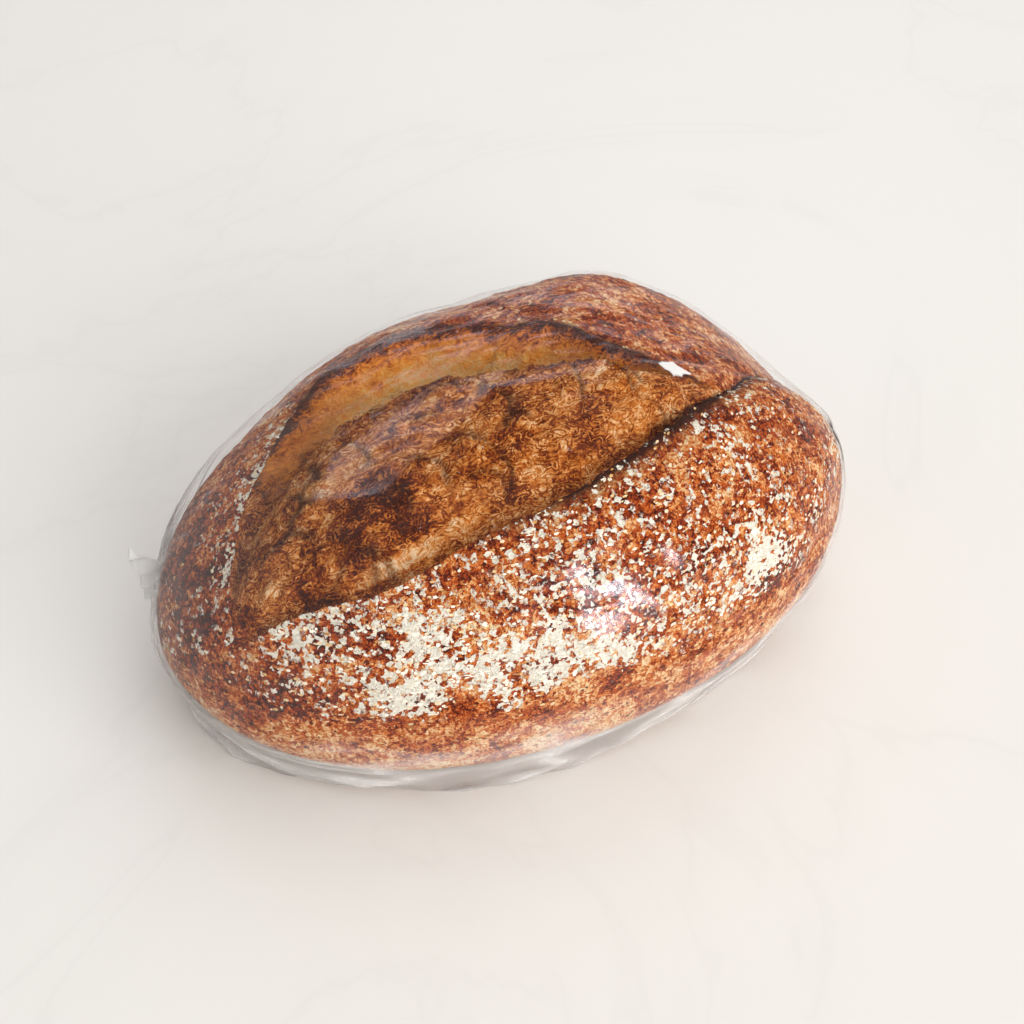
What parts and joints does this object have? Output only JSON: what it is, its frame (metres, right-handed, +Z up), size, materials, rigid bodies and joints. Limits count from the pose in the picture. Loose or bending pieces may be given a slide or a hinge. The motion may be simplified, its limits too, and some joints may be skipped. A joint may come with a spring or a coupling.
{
  "type": "sourdough loaf in a clear plastic bag",
  "caption": "Oval sourdough loaf with one long curved score and a raised crust ear, floured, in a tight clear plastic bag gathered at one end.",
  "frame": {"origin": "on the table, under the middle of the part's box", "axes": "+X along the loaf, away from the bag's gathered end; +Y towards the ear of the score; +Z up"},
  "size_m": [0.2556, 0.1754, 0.1095],
  "materials": {
    "crust": "dry baked crust, dusted with flour and bran",
    "clear_film": "clear glossy film"
  },
  "bodies": {
    "root": {"loaf": "crust", "clear_bag": "clear_film"}
  },
  "joints": []
}
